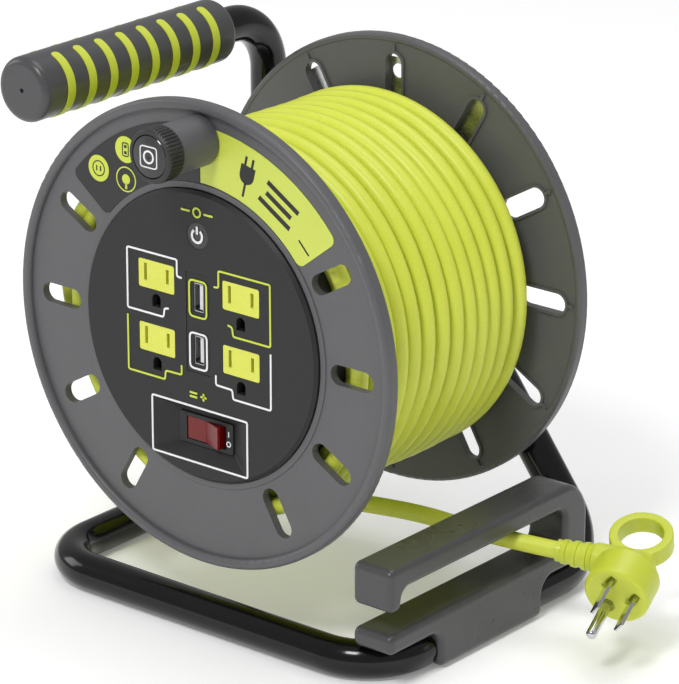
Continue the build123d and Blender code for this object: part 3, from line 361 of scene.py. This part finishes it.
def printing(name, shapes, depth, material, relief=print_relief):
    """Join flat shapes into one printed layer standing proud of the face at this depth."""
    verts, faces, used = [], [], 0
    for shape_verts, shape_faces in shapes:
        verts.append(shape_verts)
        faces += [[used + n for n in face] for face in shape_faces]
        used += len(shape_verts)
    flat = np.concatenate(verts)
    mesh = bpy.data.meshes.new(name)
    front = np.full(len(flat), rim_plane + (depth - relief) * MM)
    place = np.c_[centre_x + flat[:, 0] * MM, front, centre_z + flat[:, 1] * MM]
    mesh.from_pydata(place.tolist(), [], faces)
    made = bpy.data.objects.new(name, mesh)
    bpy.context.collection.objects.link(made)
    body = made.modifiers.new("thickness", "SOLIDIFY")
    body.thickness = relief * MM
    body.offset = -1
    mesh.materials.append(material)
    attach(made, "reel")
    return made


# Screen ink: a thin satin film, dense enough to hide the plastic below it.
white_ink = moulded("white screen ink", "#e9e9e8", "#f2f2f1", 0.45, 0.5, 0.01)
lime_ink = moulded("lime screen ink", "#c4d33b", "#cedb49", 0.45, 0.5, 0.01)
dark_ink = moulded("black screen ink", "#121212", "#191919", 0.45, 0.5, 0.01)

# broken lines round an upper and a lower socket; the other side's are mirrored
upper_frame = [(9.2, 25.4), (11.9, 25.6), (11.9, 33.2), (40.9, 33.2), (41, 5.1), (20, 5.1),
               (19.4, 9.2), (17, 9.6)]
lower_frame = [(41.1, 1.9), (41.1, -23.8), (19.7, -23.8), (19.2, -19.6), (9.9, -19.4), (9.9, -15)]


def mirrored(points):
    """The same line on the other side of the panel's upright middle."""
    return [(-x, z) for x, z in points]


def box_outline(half_wide, low, high):
    """Corners of an upright box centred on the panel's middle."""
    return [(-half_wide, low), (half_wide, low), (half_wide, high), (-half_wide, high)]


power_z = 46.4
printing("panel_print_white", [
    stroke(mirrored(upper_frame)), stroke(lower_frame),
    stroke(box_outline(4.9, -14.5, 1.8), closed=True, reach=2.2),
    stroke(box_outline(27.5, -58.6, -32.6), closed=True),
    stroke(arc(0, power_z, 2.9, 125, 415, 30), 1.1, reach=0.2), bar(0, power_z + 2.6, 1.1, 3.6)],
    panel_face, white_ink, relief=panel_relief)
printing("panel_print_lime", [
    stroke(upper_frame), stroke(mirrored(lower_frame)),
    stroke(box_outline(4.9, 9.4, 26.0), closed=True, reach=2.2),
    bar(-3.2, -26.2, 4.2, 0.9), bar(-3.2, -28.0, 4.2, 0.9), bar(2.6, -27.1, 3.4, 0.9),
    bar(2.6, -27.1, 0.9, 3.4),
    bar(-6.5, 57.0, 5.0, 0.9), bar(6.5, 57.0, 5.0, 0.9), ring_stroke(0, 57.0, 2.0)],
    panel_face, lime_ink, relief=panel_relief)
# Polished black ABS: the power lamp's window and the knob's cap.
gloss_black = moulded("polished black ABS", "#0b0b0c", "#101011", 0.14, 0.9, 0.004, coat=0.4)
paint(gloss_black, "power_lamp", "knob_cap")

# ---- Sockets and USB ports ------------------------------------------------------------
# Glossy lime polycarbonate faces over black blocks with brass leaves, and two pressed
# steel USB shells round white tongues.
lime_gloss = moulded("lime polycarbonate", "#d3d845", "#dde152", 0.26, 0.9, 0.008, coat=0.2)
paint(lime_gloss, "outlet_faces")
white_nylon = moulded("white nylon", "#d2d2cf", "#dcdcd9", 0.38, 0.6, 0.02)
paint(white_nylon, "usb_tongues", "terminal_block")
board_green = moulded("solder-masked board", "#1f5a33", "#246539", 0.35, 1.0, 0.02)
paint(board_green, "usb_board")


def metal(name, colour, roughness, grain_mm, relief_mm):
    """Plated metal with fine drawn marks in relief and in gloss."""
    made = bpy.data.materials.new(name)
    made.use_nodes = True
    tree = made.node_tree
    shader = tree.nodes["Principled BSDF"]
    shader.inputs["Base Color"].default_value = linear(colour)
    shader.inputs["Metallic"].default_value = 1.0
    place = node(tree, "ShaderNodeTexCoord").outputs["Object"]
    marks = node(tree, "ShaderNodeTexNoise",
                 {"Vector": place, "Scale": 1 / (grain_mm * MM), "Detail": 5.0})
    shine = node(tree, "ShaderNodeMapRange", {"Value": marks.outputs["Fac"], "From Min": 0.3,
                                              "From Max": 0.7, "To Min": roughness * 0.8,
                                              "To Max": roughness * 1.25})
    tree.links.new(shine.outputs["Result"], shader.inputs["Roughness"])
    skin = node(tree, "ShaderNodeBump", {"Height": marks.outputs["Fac"], "Distance": relief_mm * MM,
                                         "Strength": 0.5})
    tree.links.new(skin.outputs["Normal"], shader.inputs["Normal"])
    return made


# Bright nickel plate on the pins and shells; plain brass inside the sockets.
nickel = metal("bright nickel plate", "#c9c9cb", 0.14, 1.2, 0.004)
paint(nickel, "plug_blades", "plug_pin", "usb_shells")
brass = metal("plain brass", "#c9a45a", 0.3, 0.8, 0.01)
paint(brass, "outlet_contacts", "switch_tabs")

# ---- Rocker switch --------------------------------------------------------------------
# Smoked red polycarbonate rocker in a black bezel, with the usual bar and ring marks.
rocker_red = moulded("smoked red polycarbonate", "#5e0708", "#74090b", 0.22, 1.0, 0.006, coat=0.15,
                     gloss=0.3)
paint(rocker_red, "rocker")
mark_x = 12.9
bezel_face = 4.4        # the bezel sits this far down in the panel's dish
printing("switch_marks", [bar(mark_x, -43.2, 0.5, 2.6), ring_stroke(mark_x, -47.8, 1.1, 0.5)],
         bezel_face, white_ink)

# ---- Labels ---------------------------------------------------------------------------
# Printed polyester films under the rim: black with round badges, lime with plain marks.
film_black = moulded("black polyester film", "#111112", "#161617", 0.3, 0.4, 0.006)
film_lime = moulded("lime polyester film", "#c8d44f", "#cfdb59", 0.32, 0.4, 0.006)
paint(film_black, "label_black")
paint(film_lime, "label_lime")
silver_film = metal("silver polyester film", "#c4c5c7", 0.3, 1.5, 0.004)
paint(silver_film, "rear_label")
label_face = 2.5
badge_r = 6.0
filled_ring, open_ring = 87.5, 76.0     # the badges stand on two circles round the axis


def on_label(radius, degrees):
    """Point at this radius and angle round the reel's axis."""
    return radius * math.cos(math.radians(degrees)), radius * math.sin(math.radians(degrees))


filled_badges = [on_label(filled_ring, a) for a in (132.5, 119.5, 106.5)]
open_badges = [on_label(open_ring, a) for a in (124.5, 108.5)]
printing("label_badges", [patch(arc(x, z, badge_r)) for x, z in filled_badges]
         + [ring_stroke(x, z, badge_r - 0.5, 0.6) for x, z in open_badges]
         + [patch(arc(x, z, 2.3, 0, 360, 24)) for x, z in open_badges]
         + [bar(x, z - 3.2, 1.2, 2.4) for x, z in open_badges],
         label_face, lime_ink)
first, second, third = filled_badges
printing("badge_marks", [
    ring_stroke(*first, 3.4, 0.5), bar(first[0] - 1.1, first[1], 0.7, 2.4),
    bar(first[0] + 1.1, first[1], 0.7, 2.4),
    stroke([(second[0] - 1.7, second[1] - 3), (second[0] + 1.7, second[1] - 3),
            (second[0] + 1.7, second[1] + 3), (second[0] - 1.7, second[1] + 3)], 0.5, closed=True),
    bar(second[0], second[1] + 1.4, 1.5, 1.3), bar(second[0], second[1] - 1.4, 1.5, 1.3),
    stroke([(third[0] + 1.2, third[1] + 3), (third[0] - 1.2, third[1]),
            (third[0] + 1.0, third[1] + 0.2), (third[0] - 1.0, third[1] - 3)], 0.6)],
    label_face - print_relief, dark_ink)


def plug_mark(x, z, size, turn):
    """Plug pictogram: a rounded body, two blades and a lead, turned about its middle."""
    c, s = math.cos(math.radians(turn)), math.sin(math.radians(turn))
    shapes = [patch(np.r_[arc(0, 0, 0.5, 180, 360, 14), [(0.5, 0.55), (-0.5, 0.55)]]),
              bar(-0.24, 0.8, 0.15, 0.5), bar(0.24, 0.8, 0.15, 0.5), bar(0, -0.85, 0.14, 0.8)]
    return [(v @ np.array([(c, s), (-s, c)]) * size + (x, z), faces) for v, faces in shapes]


marks = plug_mark(*on_label(82.5, 71.5), 8.0, -14)
marks += [bar(*on_label(86.0 - 4.6 * row, 57.5), 20.0 - 4.0 * (row % 2), 2.2, -32.5)
          for row in range(3)]
marks += [bar(*on_label(78.0, 42.5), 8.0, 0.8, -47)]
printing("label_marks", marks, label_face, dark_ink)

# ---- Winding knob ---------------------------------------------------------------------
# Turned-looking ABS handle with a knurled rubber collar and a polished cap, spinning on a
# riveted steel spindle.
collar_low, collar_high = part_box("knob_collar")
knob_x, knob_z = (collar_low[0] + collar_high[0]) / 2, (collar_low[2] + collar_high[2]) / 2
collar_r = (collar_high[0] - collar_low[0]) / 2
ridge_count = 44
ridge_depth = 0.45 * MM
cap_seat_r = 9.7 * MM
neck_seat_r = 9.0 * MM
front, back = collar_low[1], collar_high[1]
# radius, depth and share of the ridge, round the closed section
collar_profile = np.array([
    [cap_seat_r, front + 1.5 * MM, 0], [cap_seat_r, front, 0],
    [collar_r - 1.2 * MM, front, 0], [collar_r - 0.3 * MM, front + 0.8 * MM, 0.4],
    [collar_r, front + 1.8 * MM, 1], [collar_r, back - 1.4 * MM, 1],
    [collar_r - 0.3 * MM, back - 0.3 * MM, 0.4], [collar_r - 1.0 * MM, back, 0],
    [neck_seat_r, back, 0], [neck_seat_r, front + 1.5 * MM, 0]])


def knurled_ring(name, profile, count):
    """Closed profile carried round the knob's axis; ridges sink by a rounded cosine wave.

    Radius = profile radius - depth x share x (1 - |cos(count x angle / 2)|)."""
    steps = count * 6
    turn = np.linspace(0, 2 * math.pi, steps, endpoint=False)[:, None]
    sink = ridge_depth * profile[None, :, 2] * (1 - np.abs(np.cos(count * turn / 2)))
    radius = profile[None, :, 0] - sink
    depth = np.broadcast_to(profile[None, :, 1], radius.shape)
    verts = np.stack([knob_x + radius * np.cos(turn), depth,
                      knob_z + radius * np.sin(turn)], axis=-1).reshape(-1, 3)
    rows = len(profile)
    a, b = np.meshgrid(np.arange(steps), np.arange(rows), indexing="ij")
    a2, b2 = (a + 1) % steps, (b + 1) % rows
    quads = np.stack([a * rows + b, a * rows + b2, a2 * rows + b2, a2 * rows + b],
                     axis=-1).reshape(-1, 4)
    mesh = bpy.data.meshes.new(name)
    mesh.from_pydata(verts.tolist(), [], quads.tolist())
    shell = bmesh.new()
    shell.from_mesh(mesh)
    bmesh.ops.recalc_face_normals(shell, faces=shell.faces)
    shell.to_mesh(mesh)
    shell.free()
    made = bpy.data.objects.new(name, mesh)
    bpy.context.collection.objects.link(made)
    return made


# Charcoal TPR: soft satin rubber that holds a broad, low highlight.
dark_rubber = moulded("charcoal TPR", "#434345", "#4b4b4d", 0.32, 0.8, 0.02, gloss=0.45)
collar_rubber = moulded("black TPR", "#1d1d1e", "#272728", 0.42, 0.7, 0.04)
collar = knurled_ring("knob_knurled_collar", collar_profile, ridge_count)
collar.data.materials.append(collar_rubber)
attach(collar, "knob")
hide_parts("knob_collar")
knob_offset = 89.2      # knob axis above the reel's
# the mark starts 0.25 mm inside the cap and stands 0.15 mm out of it
cap_face, cap_relief = -29.95, 0.4
cap_mark = printing("knob_cap_mark", [
    stroke(box_outline(4.6, 84.6, 93.8), 0.5, closed=True, reach=1.6),
    ring_stroke(0, knob_offset, 2.6, 0.8)],
    cap_face, white_ink, relief=cap_relief)
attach(cap_mark, "knob")

# ---- Tube stand -----------------------------------------------------------------------
# Bent steel tube under gloss black powder coat: deep, wet highlights broken by the
# slight orange peel that the powder leaves.
powder = moulded("gloss black powder coat", "#030303", "#050505", 0.16, 2.2, 0.008, coat=0.3,
                 gloss=0.25)
paint(powder, "frame_tube", "hub_bracket", "cross_brace")

# ---- Handle grip ----------------------------------------------------------------------
# Charcoal thermoplastic rubber sleeve over the handle with lime rings moulded in.
paint(dark_rubber, "grip_sleeve")
lime_rubber = moulded("lime TPR", "#c6d237", "#cfda46", 0.42, 0.8, 0.02)
paint(lime_rubber, "grip_bands")

# ---- Cord clip ------------------------------------------------------------------------
# Polypropylene hook screwed to the base tube; its rounded edges carry a soft gloss.
clip_plastic = moulded("charcoal polypropylene", "#424244", "#4a4a4c", 0.3, 0.7, 0.03, gloss=0.45)
paint(clip_plastic, "cord_clip")
black_rubber = moulded("black rubber", "#1c1c1c", "#242424", 0.6, 0.6, 0.03)
paint(black_rubber, "cord_gland")

# ---- Plug -----------------------------------------------------------------------------
# Lime PVC moulded over the blades in one shot, with a finger ring to pull it by and a
# flexible ribbed relief where the cord goes in.
lime_vinyl = moulded("lime moulded PVC", "#c4cf37", "#ced845", 0.36, 0.6, 0.03)
plug_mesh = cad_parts["plug_body"].data.copy()
plug_mesh.name = "plug_moulding"
welded = bmesh.new()
welded.from_mesh(plug_mesh)
bmesh.ops.remove_doubles(welded, verts=welded.verts, dist=1e-6)
welded.to_mesh(plug_mesh)
welded.free()
plug = bpy.data.objects.new("plug_moulding", plug_mesh)
bpy.context.collection.objects.link(plug)
remesh = plug.modifiers.new("even skin", "REMESH")
remesh.mode = "VOXEL"
remesh.voxel_size = 0.45 * MM
remesh.use_smooth_shade = True
ease = plug.modifiers.new("melted edges", "SMOOTH")
ease.factor = 0.5
ease.iterations = 9
plug_mesh.materials.clear()
plug_mesh.materials.append(lime_vinyl)
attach(plug, "stand")
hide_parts("plug_body")
paint(lime_vinyl, "plug_strain_relief")

# ---- Fasteners and bearings -----------------------------------------------------------
# Zinc-plated screws, axle and nut; waxy off-white nylon bushes and washer.
zinc = metal("zinc-plated steel", "#b9babd", 0.32, 0.8, 0.01)
paint(zinc, "axle", "axle_nut", "axle_clip", "drum_screws", "flange_screws", "panel_screws",
      "clip_screws", "knob_spindle")
nylon = moulded("natural nylon", "#cfc9ba", "#d8d2c4", 0.4, 0.6, 0.02)
paint(nylon, "hub_bushes", "thrust_washer")
